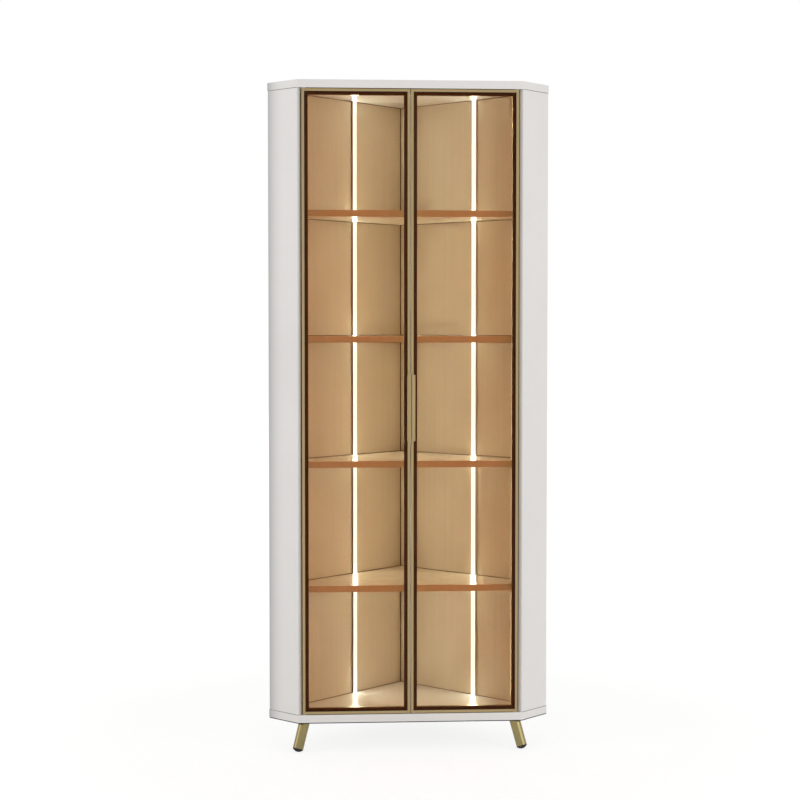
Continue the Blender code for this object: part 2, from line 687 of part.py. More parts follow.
socket_place = wall_point(1, SOCKET_FROM_CORNER, BACK_PANEL_INSET / 2, LEG_HEIGHT)
socket_mesh = turned_mesh("power_socket", [
    (0, BOARD_THICKNESS), (SOCKET_RADIUS, BOARD_THICKNESS), (SOCKET_RADIUS, -SEAT),
    (SOCKET_FLANGE, -SEAT), (SOCKET_FLANGE, -SEAT - SOCKET_FLANGE_THICKNESS),
    (SOCKET_BORE, -SEAT - SOCKET_FLANGE_THICKNESS), (SOCKET_BORE, BOARD_THICKNESS / 2),
    (0, BOARD_THICKNESS / 2)])
turn(add("power_socket", socket_mesh, BLACK_PLASTIC, socket_place), SMALL_STEPS)
socket_hole = rod_mesh(
    "power_socket_hole", SOCKET_RADIUS + SEAT, -SOCKET_RADIUS, BOARD_THICKNESS + SOCKET_RADIUS,
    SMALL_STEPS)
cut(bottom_board, add_tool("power_socket_hole", socket_hole, socket_place))
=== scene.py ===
# %% [markdown]
# This lesson dresses a tall corner display cabinet: two narrow glazed doors, four shelves, two
# wall lights and splayed legs. The cabinet was drawn first as solids, one for each piece that a
# workshop would cut, mould or buy. Here those solids are loaded as a fixed frame, and everything
# that the eye needs is added round them: finishes, seals, screws, light, a floor and a camera.

# %% Load the solids
import math

import bmesh
import bpy
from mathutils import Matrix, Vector


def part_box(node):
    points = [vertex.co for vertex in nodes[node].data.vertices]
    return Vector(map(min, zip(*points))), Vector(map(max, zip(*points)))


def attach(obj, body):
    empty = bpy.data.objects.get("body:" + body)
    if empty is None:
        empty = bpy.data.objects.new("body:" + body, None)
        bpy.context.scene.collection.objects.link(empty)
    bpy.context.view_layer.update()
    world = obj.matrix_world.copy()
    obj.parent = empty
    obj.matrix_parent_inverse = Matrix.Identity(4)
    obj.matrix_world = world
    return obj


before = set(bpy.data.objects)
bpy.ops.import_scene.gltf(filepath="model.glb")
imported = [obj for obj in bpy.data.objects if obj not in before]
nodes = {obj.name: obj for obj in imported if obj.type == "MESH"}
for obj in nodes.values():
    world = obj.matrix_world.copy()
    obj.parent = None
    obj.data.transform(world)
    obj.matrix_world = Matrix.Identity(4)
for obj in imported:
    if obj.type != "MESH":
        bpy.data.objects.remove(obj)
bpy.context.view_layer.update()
SIDES = {"left": -1, "right": 1}
FLOOR_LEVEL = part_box("bottom_board")[1][2]
CEILING_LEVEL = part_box("top_board")[0][2]
print("inside: from", round(1000 * FLOOR_LEVEL), "to", round(1000 * CEILING_LEVEL), "mm up")

# %% [markdown]
# The camera comes first, because every later choice is judged through it. It stands 5.1 m in
# front of the doors at the height of a person's chest, a little left of the middle, and looks
# slightly down. A long lens keeps the sides nearly upright, as in a catalogue picture. The place
# and the angles were worked out from the cabinet's edges, so they aren't round numbers.

# %% Camera
LENS = 77.703
CAMERA_PLACE = (-0.35657, -5.36386, 1.27208)
CAMERA_DOWN = 2.430
CAMERA_TURN = 3.628

lens = bpy.data.cameras.new("camera")
lens.lens = LENS
lens.sensor_width = 36.0
lens.clip_end = 60.0
camera = bpy.data.objects.new("camera", lens)
camera.location = CAMERA_PLACE
camera.rotation_euler = (math.radians(90 - CAMERA_DOWN), 0, math.radians(-CAMERA_TURN))
bpy.context.scene.collection.objects.link(camera)
bpy.context.scene.camera = camera
print("camera", round(Vector(CAMERA_PLACE).length, 2), "m from the cabinet's middle on the floor")

# %% [markdown]
# Every finish below is a small tree of shader nodes. Three things make a surface look made
# rather than filled in: its colour drifts a little, its gloss isn't the same everywhere, and it
# has a fine relief. All three can grow from noise in the piece's own coordinates, so that they
# stay with the piece when a door turns. A few helpers keep each tree short enough to read.

# %% Helpers for shader trees
def paint(red, green, blue):
    """A colour as a screen shows it, from 0 to 255, as the linear values that a shader takes."""
    values = [channel / 255 for channel in (red, green, blue)]
    return [v / 12.92 if v <= 0.04045 else ((v + 0.055) / 1.055) ** 2.4 for v in values] + [1.0]


def start_finish(name):
    """A new material with its tree and its main shader."""
    finish = bpy.data.materials.new(name)
    finish.use_nodes = True
    tree = finish.node_tree
    return finish, tree, tree.nodes["Principled BSDF"]


def add(tree, kind, inputs=(), **settings):
    """A node of one kind. inputs pairs a socket's name or number with a value or a socket."""
    node = tree.nodes.new(kind)
    for name, value in settings.items():
        setattr(node, name, value)
    for socket, value in inputs:
        if isinstance(value, bpy.types.NodeSocket):
            tree.links.new(value, node.inputs[socket])
        else:
            node.inputs[socket].default_value = value
    return node


def noise(tree, scale, stretch=(1, 1, 1), detail=2.0):
    """Noise with scale bumps to the metre; stretch above 1 packs them closer along an axis."""
    place = add(tree, "ShaderNodeTexCoord")
    fitted = add(tree, "ShaderNodeMapping", [("Vector", place.outputs["Object"]), ("Scale", stretch)])
    made = add(tree, "ShaderNodeTexNoise",
               [("Vector", fitted.outputs[0]), ("Scale", scale), ("Detail", detail)])
    return made.outputs[0]


def spread(tree, source, low, high, start=0.3, end=0.7):
    """The source's run from start to end, stretched to run from low to high."""
    made = add(tree, "ShaderNodeMapRange",
               [("Value", source), ("From Min", start), ("From Max", end),
                ("To Min", low), ("To Max", high)])
    return made.outputs[0]


def mix_colours(tree, share, first, second):
    """A colour that goes from first to second as share goes from 0 to 1."""
    made = add(tree, "ShaderNodeMix", [(0, share), (6, first), (7, second)], data_type="RGBA")
    return made.outputs[2]


def relief(tree, height, depth):
    """A bump of that depth in metres."""
    inputs = [("Height", height), ("Distance", depth), ("Strength", 1.0)]
    return add(tree, "ShaderNodeBump", inputs).outputs[0]


def times(tree, first, second):
    """The product of two numbers or sockets."""
    return add(tree, "ShaderNodeMath", [(0, first), (1, second)], operation="MULTIPLY").outputs[0]


def choose(tree, switch, off, on):
    """The shader off, or the shader on for the rays that the switch picks out."""
    return add(tree, "ShaderNodeMixShader", [(0, switch), (1, off), (2, on)]).outputs[0]


def edges(tree, radius):
    """1 on the piece's outer edges and 0 on its flats, found by comparing a rounded normal."""
    rounded = add(tree, "ShaderNodeBevel", [("Radius", radius)], samples=4)
    flat = add(tree, "ShaderNodeNewGeometry")
    turned = add(tree, "ShaderNodeVectorMath",
                 [(0, rounded.outputs[0]), (1, flat.outputs["Normal"])], operation="DOT_PRODUCT")
    return spread(tree, turned.outputs["Value"], 1.0, 0.0, start=0.80, end=0.99)


def facing_share(tree, way, start, end):
    """0 on faces turned away from that way and 1 on faces turned to it, with a ramp between."""
    place = add(tree, "ShaderNodeTexCoord")
    turned = add(tree, "ShaderNodeVectorMath",
                 [(0, place.outputs["Normal"]), (1, way)], operation="DOT_PRODUCT")
    return spread(tree, turned.outputs["Value"], 0.0, 1.0, start=start, end=end)


def shaded(colour, share):
    """The colour made darker, or lighter up to white."""
    return [min(1.0, share * value) for value in colour[:3]] + [1.0]


def connect(tree, shader, **sockets):
    """Links sockets to the main shader's inputs; an underscore stands for a space."""
    for name, source in sockets.items():
        tree.links.new(source, shader.inputs[name.replace("_", " ")])


print("white as a shader takes it:", round(paint(230, 228, 225)[0], 3))

# %% [markdown]
# The outside is satin white lacquer, sprayed on board. Sprayed lacquer is never quite flat: it
# sets with a soft ripple called orange peel, about 2 mm from crest to crest. It also draws back
# from sharp edges, where it is thinner, so the board's warmth shows through a little. On the
# faces that look left, a soft ramp paints shade into the colour, by their distance from the left
# wall: they turn greyer toward that wall. This is painted shade, not dirt.

# %% White satin lacquer
REAR_Y = 0.27153
LEFT_WAY = (-math.sqrt(0.5), -math.sqrt(0.5), 0.0)
FROM_LEFT_WALL = (math.sqrt(0.5), -math.sqrt(0.5), 0.0)
# Painted shade toward the left wall: its width, the share of the white left at the wall, and its
# curve.
PAINTED_SHADE_WIDTH = 0.085
PAINTED_SHADE_SHARE = 0.56
PAINTED_SHADE_CURVE = 2.7


def painted_shade_share(tree):
    """Share of painted shade: 1 at the left wall, falling to 0 across the ramp's width, on faces that
    look left; 0 on all others.
    """
    place = add(tree, "ShaderNodeTexCoord")
    across = add(tree, "ShaderNodeVectorMath",
                 [(0, place.outputs["Object"]), (1, FROM_LEFT_WALL)], operation="DOT_PRODUCT")
    wall = -REAR_Y * math.sqrt(0.5)
    near = spread(tree, across.outputs["Value"], 1, 0, start=wall, end=wall + PAINTED_SHADE_WIDTH)
    curved = add(tree, "ShaderNodeMath", [(0, near), (1, PAINTED_SHADE_CURVE)], operation="POWER").outputs[0]
    return times(tree, curved, facing_share(tree, LEFT_WAY, 0.90, 0.98))


def make_lacquer():
    finish, tree, shader = start_finish("white_satin_lacquer")
    cloud = noise(tree, 4.0, detail=3.0)
    white = mix_colours(tree, spread(tree, cloud, 0, 1), paint(229, 227, 225), paint(233, 231, 229))
    worn = mix_colours(tree, edges(tree, 0.0012), white, paint(219, 213, 204))
    # Painted shade: the white is darkened toward the left wall on the faces that look left.
    painted_shade_grey = shaded(paint(229, 228, 228), PAINTED_SHADE_SHARE)
    dust_bloom_and_painted_shade = mix_colours(tree, painted_shade_share(tree), worn, painted_shade_grey)
    peel = noise(tree, 420.0, detail=1.0)
    gloss = spread(tree, noise(tree, 35.0), 0.29, 0.36)
    connect(tree, shader, Base_Color=dust_bloom_and_painted_shade, Roughness=gloss, Normal=relief(tree, peel, 0.00004))
    return finish


WHITE_LACQUER = make_lacquer()
print("made", WHITE_LACQUER.name, "greyed over", round(1000 * PAINTED_SHADE_WIDTH), "mm by the left wall")

# %% [markdown]
# Inside, the back panels and shelves have a cream face. It is rolled on in one direction, which
# leaves faint upright streaks. The shelves are polished, so that they mirror the wall lights as
# soft bright patches. The back panels are only satin: the lights make them paler over a broad area.
# The side that faces the wall has a plain, dull backing sheet. Both faces of a panel are one
# material: the surface's own direction chooses between them.

# %% Cream board
def make_cream_board(name, darker, paler, smoothest, roughest, sheen, ripple):
    finish, tree, shader = start_finish(name)
    shader.inputs["Specular IOR Level"].default_value = sheen
    streaks = noise(tree, 1.0, stretch=(95, 95, 1.6), detail=4.0)
    cloud = noise(tree, 7.0, detail=3.0)
    drift = mix_colours(tree, spread(tree, cloud, 0, 1), darker, paler)
    cream = mix_colours(tree, spread(tree, streaks, 0.0, 0.35), drift, shaded(darker, 0.88))
    wall_side = facing_share(tree, (0.0, 1.0, 0.0), 0.45, 0.55)
    speckle = mix_colours(tree, spread(tree, noise(tree, 900.0), 0, 1), paint(214, 210, 203),
                          paint(226, 223, 218))
    colour = mix_colours(tree, wall_side, cream, speckle)
    smooth = spread(tree, noise(tree, 28.0), smoothest, roughest)
    dull = add(tree, "ShaderNodeMix", [(0, wall_side), (2, smooth), (3, 0.62)])
    peel = relief(tree, noise(tree, 300.0, detail=1.0), ripple)
    connect(tree, shader, Base_Color=colour, Roughness=dull.outputs[0], Normal=peel)
    return finish


CREAM_WALL = make_cream_board("cream_satin_back_panel", paint(219, 210, 193), paint(224, 215, 199),
                              0.29, 0.37, 0.4, 0.00002)
CREAM_SHELF = make_cream_board("cream_polished_shelf", paint(218, 205, 185), paint(224, 212, 193),
                               0.18, 0.25, 0.5, 0.000004)
print("made", CREAM_WALL.name, "and", CREAM_SHELF.name)

# %% [markdown]
# The door frames and the handles are aluminium, brushed along their length and anodised
# champagne gold. Brushing leaves scratches that are very long and very narrow, so the noise is
# squeezed across the bar and left slack along it. Uprights and rails run different ways, and so
# there is one finish for each. Edges that hands touch are rubbed a little brighter.

# %% Champagne gold
def make_champagne(name, stretch):
    finish, tree, shader = start_finish(name)
    shader.inputs["Metallic"].default_value = 1.0
    scratches = noise(tree, 1.0, stretch=stretch, detail=3.0)
    cloud = noise(tree, 9.0)
    gold = mix_colours(tree, spread(tree, scratches, 0, 1), paint(160, 140, 101), paint(178, 157, 116))
    aged = mix_colours(tree, spread(tree, cloud, 0.0, 0.3), gold, paint(150, 131, 94))
    rubbed = mix_colours(tree, edges(tree, 0.0006), aged, paint(203, 184, 145))
    gloss = spread(tree, scratches, 0.29, 0.42)
    connect(tree, shader, Base_Color=rubbed, Roughness=gloss, Normal=relief(tree, scratches, 0.000004))
    return finish


GOLD_UPRIGHT = make_champagne("champagne_brushed_upright", (2600, 2600, 7))
GOLD_LEVEL = make_champagne("champagne_brushed_level", (7, 2600, 2600))
print("made", GOLD_UPRIGHT.name, "and", GOLD_LEVEL.name)

# %% [markdown]
# The legs are turned steel, plated in the same gold and polished. Polishing on a lathe leaves
# fine rings round the leg, which show only in the gloss.

# %% Plated legs
def make_leg_plating():
    finish, tree, shader = start_finish("champagne_plated_leg")
    shader.inputs["Metallic"].default_value = 1.0
    rings = noise(tree, 1.0, stretch=(30, 30, 3000), detail=2.0)
    cloud = noise(tree, 22.0, detail=3.0)
    gold = mix_colours(tree, spread(tree, cloud, 0, 1), paint(134, 123, 84), paint(150, 137, 95))
    rubbed = mix_colours(tree, edges(tree, 0.0008), gold, paint(178, 164, 124))
    gloss = spread(tree, rings, 0.19, 0.26)
    connect(tree, shader, Base_Color=rubbed, Roughness=gloss, Normal=relief(tree, rings, 0.000006))
    return finish


LEG_PLATING = make_leg_plating()
print("made", LEG_PLATING.name)

# %% [markdown]
# The doors hold bronze tinted glass. A glass shader bends and tints what is seen through it, but
# in a path tracer it also stops lamps from lighting what is behind. So two switches let shadow
# rays and bounced light straight through. Room light mostly falls in at a slant, through more of
# the tint, so it is tinted deeper than the view. Light crosses two faces of the pane, and each
# takes the square root of the whole tint. The panes carry a film that stops reflections, as shop
# windows do, so their index of refraction is set well under that of plain glass.

# %% Bronze glass
PANE_TINT = (0.80, 0.67, 0.47)
SLANT_TINT = (0.76, 0.37, 0.21)
FILM_INDEX = 1.10


def make_glass():
    finish, tree, shader = start_finish("bronze_tinted_glass")
    shader.inputs["Transmission Weight"].default_value = 1.0
    shader.inputs["IOR"].default_value = FILM_INDEX
    shader.inputs["Base Color"].default_value = [*PANE_TINT, 1.0]
    film = spread(tree, noise(tree, 14.0, detail=3.0), 0.0, 0.01)
    connect(tree, shader, Roughness=film, Normal=relief(tree, noise(tree, 3.0), 0.000003))
    one_face = [math.sqrt(share) for share in SLANT_TINT] + [1.0]
    clear = add(tree, "ShaderNodeBsdfTransparent", [("Color", one_face)]).outputs[0]
    rays = add(tree, "ShaderNodeLightPath").outputs
    bounced = choose(tree, rays["Is Diffuse Ray"], shader.outputs[0], clear)
    lit = choose(tree, rays["Is Shadow Ray"], bounced, clear)
    tree.links.new(lit, tree.nodes["Material Output"].inputs["Surface"])
    return finish


BRONZE_GLASS = make_glass()
print("made", BRONZE_GLASS.name, "which passes", PANE_TINT, "and at a slant", SLANT_TINT)

# %% [markdown]
# Behind each pane lies a flat gasket. Seen through the glass it is the dark brown band inside
# the gold. The glides under the legs are a harder, blacker rubber. Moulded rubber has a very fine
# grain and a dusty bloom on its edges.

# %% Rubber
def make_rubber(name, dark, pale, rough):
    finish, tree, shader = start_finish(name)
    shader.inputs["Specular IOR Level"].default_value = 0.25
    grain = noise(tree, 1600.0, detail=2.0)
    bloom = noise(tree, 40.0, detail=4.0)
    body = mix_colours(tree, spread(tree, bloom, 0, 1), dark, pale)
    dust_bloom_and_painted_shade = mix_colours(tree, edges(tree, 0.0008), body, shaded(pale, 2.0))
    gloss = spread(tree, bloom, rough - 0.08, rough + 0.08)
    connect(tree, shader, Base_Color=dust_bloom_and_painted_shade, Roughness=gloss, Normal=relief(tree, grain, 0.00002))
    return finish


BAND_RUBBER = make_rubber("brown_gasket_rubber", paint(74, 46, 28), paint(82, 52, 33), 0.66)
GLIDE_RUBBER = make_rubber("black_glide_rubber", paint(30, 28, 26), paint(42, 39, 36), 0.62)
print("made", BAND_RUBBER.name, "and", GLIDE_RUBBER.name)

# %% [markdown]
# Each wall light is an aluminium channel with an opal cover that snaps in. Extruded aluminium
# carries die lines along its whole length. The cover is what lights the shelves, so its front
# gives out light itself, and its sides, which the channel masks, don't. The diodes behind it
# still show as a faint beat in the brightness. A real light of this kind is tens of times
# brighter than the lightest white of a picture. Drawn at that strength its edges would swell, so
# the camera sees it only a little above white, and everything else gets its full light. The two
# channels are one product, but each has its own copy of the finish: the left one is dark as painted
# shade and the right one is pale as painted light. Behind the cover the strip is white board with a
# row of yellow beads.

# %% Wall light finishes
LIGHT_COLOUR = (0.81, 0.94, 1.0, 1.0)
SEEN_COLOUR = (0.78, 0.87, 1.0, 1.0)
SEEN_STRENGTH = 1.45
CAST_STRENGTH = {"left": 97.0, "right": 41.0}
LIGHT_FACES = {"left": (0.70711, -0.70711, 0.0), "right": (-0.70711, -0.70711, 0.0)}
DIODES_PER_METRE = 120


def diode_beat(tree):
    """A wave along the height with one crest for each diode."""
    place = add(tree, "ShaderNodeTexCoord")
    parts = add(tree, "ShaderNodeSeparateXYZ", [("Vector", place.outputs["Object"])])
    angle = add(tree, "ShaderNodeMath",
                [(0, parts.outputs["Z"]), (1, 2 * math.pi * DIODES_PER_METRE)], operation="MULTIPLY")
    return add(tree, "ShaderNodeMath", [(0, angle.outputs[0])], operation="SINE").outputs[0]


def make_opal(label):
    finish, tree, shader = start_finish(f"opal_cover_of_{label}_light")
    shader.inputs["Emission Color"].default_value = SEEN_COLOUR
    milk = noise(tree, 60.0)
    base = mix_colours(tree, spread(tree, milk, 0, 1), paint(244, 242, 238), paint(250, 249, 246))
    flat = facing_share(tree, LIGHT_FACES[label], 0.80, 0.95)
    round_too = facing_share(tree, LIGHT_FACES[label], 0.10, 0.60)
    beat = spread(tree, diode_beat(tree), 0.96, 1.04, -1, 1)
    seen = times(tree, times(tree, flat, beat), SEEN_STRENGTH)
    grain = relief(tree, noise(tree, 1200.0), 0.00001)
    connect(tree, shader, Base_Color=base, Emission_Strength=seen,
            Roughness=spread(tree, milk, 0.38, 0.50), Normal=grain)
    cast = times(tree, times(tree, round_too, beat), CAST_STRENGTH[label])
    lamp = add(tree, "ShaderNodeEmission", [("Color", LIGHT_COLOUR), ("Strength", cast)]).outputs[0]
    rays = add(tree, "ShaderNodeLightPath").outputs
    direct = choose(tree, rays["Is Camera Ray"], lamp, shader.outputs[0])
    through = choose(tree, rays["Is Transmission Ray"], direct, shader.outputs[0])
    tree.links.new(through, tree.nodes["Material Output"].inputs["Surface"])
    return finish


def make_channel(name, dark, pale, metallic):
    finish, tree, shader = start_finish(name)
    shader.inputs["Metallic"].default_value = metallic
    lines = noise(tree, 1.0, stretch=(2200, 2200, 3), detail=3.0)
    drawn = mix_colours(tree, spread(tree, lines, 0, 1), dark, pale)
    bright = mix_colours(tree, edges(tree, 0.0005), drawn, shaded(pale, 1.3))
    connect(tree, shader, Base_Color=bright, Roughness=spread(tree, lines, 0.30, 0.44),
            Normal=relief(tree, lines, 0.00001))
    return finish


def make_strip():
    finish, tree, shader = start_finish("white_strip_yellow_beads")
    bead = spread(tree, diode_beat(tree), 0, 1, 0.2, 0.4)
    cloud = noise(tree, 80.0)
    board = mix_colours(tree, spread(tree, cloud, 0, 1), paint(238, 236, 230), paint(246, 245, 241))
    colour = mix_colours(tree, bead, board, paint(240, 206, 92))
    connect(tree, shader, Base_Color=colour, Roughness=spread(tree, bead, 0.5, 0.25, 0, 1),
            Normal=relief(tree, bead, 0.0001))
    return finish


OPAL_COVERS = {label: make_opal(label) for label in LIGHT_FACES}
# Two copies of one channel finish: the left is darkened as painted shade, the right is made pale as
# painted light.
CHANNELS = {
    "left": make_channel("channel_dark_with_painted_shade", paint(140, 137, 131), paint(160, 156, 150), 1.0),
    "right": make_channel("channel_pale_with_painted_light", paint(226, 221, 212), paint(234, 230, 222), 0.0),
}
LIGHT_STRIP = make_strip()
print("made", len(OPAL_COVERS), "opal covers,", len(CHANNELS), "channels,", LIGHT_STRIP.name)

# %% [markdown]
# The small fittings are zinc plated steel, white nylon and black plastic. Zinc sets in soft
# patches with a bluish cast. Nylon and plastic copy the spark-eroded skin of their mould.

# %% Fitting finishes
def make_zinc():
    finish, tree, shader = start_finish("zinc_plated_steel")
    shader.inputs["Metallic"].default_value = 1.0
    patches = noise(tree, 260.0, detail=3.0)
    zinc = mix_colours(tree, spread(tree, patches, 0, 1), paint(158, 160, 165), paint(196, 197, 200))
    bright = mix_colours(tree, edges(tree, 0.0003), zinc, paint(224, 224, 224))
    connect(tree, shader, Base_Color=bright, Roughness=spread(tree, patches, 0.29, 0.42),
            Normal=relief(tree, patches, 0.00001))
    return finish


def make_moulded(name, dark, pale, rough, depth):
    finish, tree, shader = start_finish(name)
    skin = noise(tree, 2400.0, detail=2.0)
    cloud = noise(tree, 90.0)
    body = mix_colours(tree, spread(tree, cloud, 0, 1), dark, pale)
    worn = mix_colours(tree, edges(tree, 0.0004), body, shaded(pale, 1.5))
    connect(tree, shader, Base_Color=worn, Roughness=spread(tree, skin, rough - 0.07, rough + 0.07),
            Normal=relief(tree, skin, depth))
    return finish


ZINC = make_zinc()
NYLON = make_moulded("white_moulded_nylon", paint(218, 217, 210), paint(228, 227, 221), 0.48, 0.00001)
BLACK_PLASTIC = make_moulded("black_moulded_plastic", paint(24, 23, 21), paint(32, 30, 28),
                             0.45, 0.00002)
print("made", ZINC.name, NYLON.name, BLACK_PLASTIC.name)

# %% [markdown]
# Now each solid gets its finish. The names of the solids say what they are, so a short list of
# name endings is enough, and the first ending that fits wins.

# %% Dress the solids
FINISH_BY_ENDING = [
    ("_board", WHITE_LACQUER),
    ("_side_panel", WHITE_LACQUER),
    ("_back_panel", CREAM_WALL),
    ("_pin", ZINC),
    ("left_light_channel", CHANNELS["left"]),
    ("right_light_channel", CHANNELS["right"]),
    ("_light_strip", LIGHT_STRIP),
    ("left_light_cover", OPAL_COVERS["left"]),
    ("right_light_cover", OPAL_COVERS["right"]),
    ("_stile", GOLD_UPRIGHT),
    ("_rail", GOLD_LEVEL),
    ("_handle", GOLD_UPRIGHT),
    ("_glass", BRONZE_GLASS),
    ("_gasket", BAND_RUBBER),
    ("_pivot", ZINC),
    ("_plate", ZINC),
    ("_bushing", NYLON),
    ("_leg", LEG_PLATING),
    ("_glide", GLIDE_RUBBER),
    ("magnetic_catch", BLACK_PLASTIC),
    ("power_socket", BLACK_PLASTIC),
]


def finish_for(name):
    if name.startswith("shelf_") and not name.endswith("_pin"):
        return CREAM_SHELF
    return next(finish for ending, finish in FINISH_BY_ENDING if name.endswith(ending))


for name, solid in nodes.items():
    for material_slot in solid.material_slots:
        material_slot.material = finish_for(name)
print("dressed", len(nodes), "solids in", len({finish_for(name).name for name in nodes}), "finishes")

# %% [markdown]
# What the solids leave out are the thin things: seals, a bead of sealant and the heads of screws.
# Each is drawn here as a list of points and faces. Two helpers do most of it. One pulls a flat
# outline along a line, which is how a seal comes out of its die. The other stacks rings of points
# and closes the wall between them, which is how a turned or pressed part is built up.

# %% Helpers for small parts
BLACK_RUBBER = (GLIDE_RUBBER, "black_rubber")
BROWN_RUBBER = (BAND_RUBBER, "brown_rubber")
STEEL = (ZINC, "steel")


def place(name, points, faces, body, finish, slot, smooth=()):
    """A new piece that rides on a body. smooth lists the numbers of the faces that look round."""
    mesh = bpy.data.meshes.new(name)
    mesh.from_pydata([tuple(point) for point in points], [], faces)
    shape = bmesh.new()
    shape.from_mesh(mesh)
    bmesh.ops.recalc_face_normals(shape, faces=shape.faces)
    if shape.calc_volume(signed=True) < 0:
        bmesh.ops.reverse_faces(shape, faces=shape.faces)
    shape.to_mesh(mesh)
    shape.free()
    for number in smooth:
        mesh.polygons[number].use_smooth = True
    mesh.materials.append(finish)
    piece = bpy.data.objects.new(name, mesh)
    bpy.context.scene.collection.objects.link(piece)
    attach(piece, body)
    return piece


def walls_between(rings):
    """Faces between neighbouring rings of the same number of points."""
    count = len(rings[0])
    faces = []
    for level in range(len(rings) - 1):
        for step in range(count):
            here = level * count + step
            beside = level * count + (step + 1) % count
            faces.append((here, beside, beside + count, here + count))
    return faces


def stack(rings):
    """The points and faces of a solid that goes from ring to ring and is closed at both ends."""
    points = [point for ring in rings for point in ring]
    count = len(rings[0])
    ends = [tuple(range(len(points) - count, len(points))), tuple(range(count))]
    return points, walls_between(rings) + ends


def pull(name, start_outline, end_outline, *dressing):
    """A bar between two outlines."""
    return place(name, *stack([start_outline, end_outline]), *dressing)


print("helpers ready")

# %% [markdown]
# A door shuts with 2 to 3 mm of air round it. Left open, that gap would let the light inside shine
# out as a bright line. So a soft black strip is glued along the inner edge of each side panel, one
# under the top board, one on the bottom board and one on the edge of the left door. They sit a
# few millimetres back, where they look like the dark of the gap, and they clear the doors by
# 0.2 mm or more at every angle.

# %% Seals round the doors
SIDE_SEAL = [(0.32612, -0.22966), (0.32420, -0.22935), (0.32310, -0.22860), (0.32340, -0.22700),
             (0.32310, -0.22540), (0.32340, -0.22380), (0.32310, -0.22220), (0.32600, -0.22250),
             (0.33177, -0.22401)]
SIDE_SEAL_AIR = 0.0003
MEETING_SEAL_AIR = 0.0026
DUST_STRIP_REACH = 0.3105


def upright(outline, air, side=1):
    """The outline at both ends of the inside's height, with that much air at each end."""
    levels = (FLOOR_LEVEL + air, CEILING_LEVEL - air)
    return [[(side * x, y, z) for x, y in outline] for z in levels]


for label, side in SIDES.items():
    pull(f"{label}_side_seal", *upright(SIDE_SEAL, SIDE_SEAL_AIR, side), "carcass", *BLACK_RUBBER)

MEETING_SEAL = [(-0.0010, -0.2248), (0.0001, -0.2247), (0.0005, -0.2242), (0.0002, -0.2236),
                (0.0005, -0.2230), (0.0001, -0.2225), (-0.0010, -0.2224)]
pull("meeting_seal", *upright(MEETING_SEAL, MEETING_SEAL_AIR), "left_door", *BLACK_RUBBER)

DUST_STRIP = [(-0.2352, 0.0), (-0.2350, 0.0009), (-0.2344, 0.0016), (-0.2338, 0.0010),
              (-0.2332, 0.0016), (-0.2327, 0.0009), (-0.2325, 0.0)]
for label, board_face, way in (("top", CEILING_LEVEL, -1), ("bottom", FLOOR_LEVEL, 1)):
    ends = [[(x, y, board_face + way * z) for y, z in DUST_STRIP]
            for x in (-DUST_STRIP_REACH, DUST_STRIP_REACH)]
    pull(f"{label}_dust_strip", *ends, "carcass", *BLACK_RUBBER)
print("seals: 2 at the sides, 1 between the doors, 1 above and 1 below")

# %% [markdown]
# Three more dark lines belong to the carcass. Where a side panel stands between the boards, the
# rounded edges leave a fine groove, and a thin dark bead lies in it. A black bead in the rear
# corner of the inside is painted shade: a dark piece set in the shade of that corner. And a black
# strip round the lower edge of the bottom board is painted shade for that downward-facing edge.

# %% Joints of the carcass
BOARD_CORNERS = [(-0.42426, -0.15273), (-0.33588, -0.24112), (0.33588, -0.24112), (0.42426, -0.15273)]
JOINT_BEAD = [(-0.0008, -0.00015), (-0.0002, -0.00060), (-0.0001, 0.0), (-0.0002, 0.00060),
              (-0.0008, 0.00015)]
REAR_STOP = 0.003
FRONT_STOP = 0.001


def toward(start, end, distance):
    """The point that far from start on the way to end, in plan."""
    way = Vector(end) - Vector(start)
    return Vector(start) + way.normalized() * distance


for label, side in SIDES.items():
    far, near = [(-side * x, y) for x, y in BOARD_CORNERS[:2]]
    outward = Vector((side, -1)).normalized()
    stops = (toward(far, near, REAR_STOP), toward(near, far, FRONT_STOP))
    for board, height in (("bottom", FLOOR_LEVEL), ("top", CEILING_LEVEL)):
        ends = [[(*(stop + outward * out), height + up) for out, up in JOINT_BEAD] for stop in stops]
        pull(f"{label}_{board}_joint", *ends, "carcass", *BLACK_RUBBER)

INNER_CORNER_Y = 0.23335
CORNER_BEAD_AIR = 0.0006
CORNER_BEAD = [(-0.0003, 0.0004), (-0.0014, -0.0013), (-0.0008, -0.0014), (0.0, -0.0014),
               (0.0008, -0.0016), (0.0016, -0.0017), (0.0014, -0.0008), (0.0004, 0.0003)]
corner_outline = [(x, INNER_CORNER_Y + y) for x, y in CORNER_BEAD]
# Painted shade: a black bead in the gap of the rear corner.
pull("rear_corner_shade_bead", *upright(corner_outline, CORNER_BEAD_AIR), "carcass", *BLACK_RUBBER)

EDGE_STRIP = [(-0.0030, 0.0881), (-0.0030, 0.0866), (-0.0005, 0.0863), (0.0001, 0.0867),
              (0.0002, 0.0878), (0.0001, 0.0890), (-0.0002, 0.0891)]
side_way = Vector((-1, -1)).normalized()
mitre_way = Vector((-math.tan(math.radians(22.5)), -1.0))
stations = [(toward(BOARD_CORNERS[0], BOARD_CORNERS[1], REAR_STOP), side_way),
            (Vector(BOARD_CORNERS[1]), mitre_way),
            (Vector(BOARD_CORNERS[2]), Vector((-mitre_way.x, mitre_way.y))),
            (toward(BOARD_CORNERS[3], BOARD_CORNERS[2], REAR_STOP), Vector((-side_way.x, side_way.y)))]
rings = [[(*(spot + way * out), z) for out, z in EDGE_STRIP] for spot, way in stations]
# Painted shade: a black strip along the lower edge of the bottom board.
place("base_edge_shade_strip", *stack(rings), "carcass", *BLACK_RUBBER)
print("joints: 4, rear corner bead: 1, edge strip: 1")

